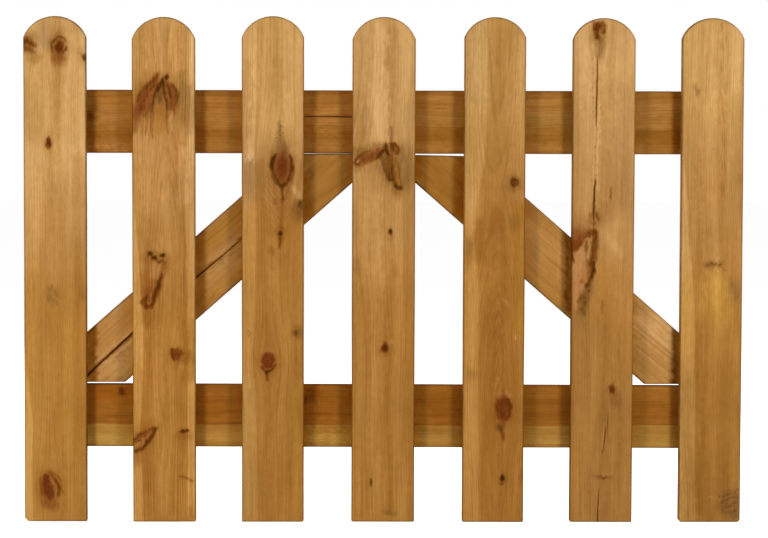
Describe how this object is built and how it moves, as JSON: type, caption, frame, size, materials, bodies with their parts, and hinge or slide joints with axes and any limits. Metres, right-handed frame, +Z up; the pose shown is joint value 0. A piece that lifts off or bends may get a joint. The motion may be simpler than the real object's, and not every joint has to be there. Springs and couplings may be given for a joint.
{
  "type": "picket gate leaf",
  "caption": "Low wooden picket gate leaf: round-topped upright pales on a top and a bottom back rail, with chevron braces between the rails, to be hung on hinges.",
  "frame": {"origin": "on the back face of the top rail, at the middle of its length and height", "axes": "+X across the leaf, left to right as seen from the front; +Y from the front of the pales to the back of the rails, out of the top rail's back face; +Z up"},
  "size_m": [0.9997, 0.04, 0.7048],
  "materials": {
    "pale_timber": "planed softwood, golden brown preservative stain, knots and season checks",
    "rail_timber": "planed softwood, darker brown preservative stain",
    "brace_timber": "planed softwood, darker brown preservative stain, open check along the left brace"
  },
  "bodies": {
    "root": {"pale_1": "pale_timber", "pale_2": "pale_timber", "pale_3": "pale_timber", "pale_4": "pale_timber", "pale_5": "pale_timber", "pale_6": "pale_timber", "pale_7": "pale_timber", "top_rail": "rail_timber", "bottom_rail": "rail_timber", "left_brace": "brace_timber", "right_brace": "brace_timber"}
  },
  "joints": []
}
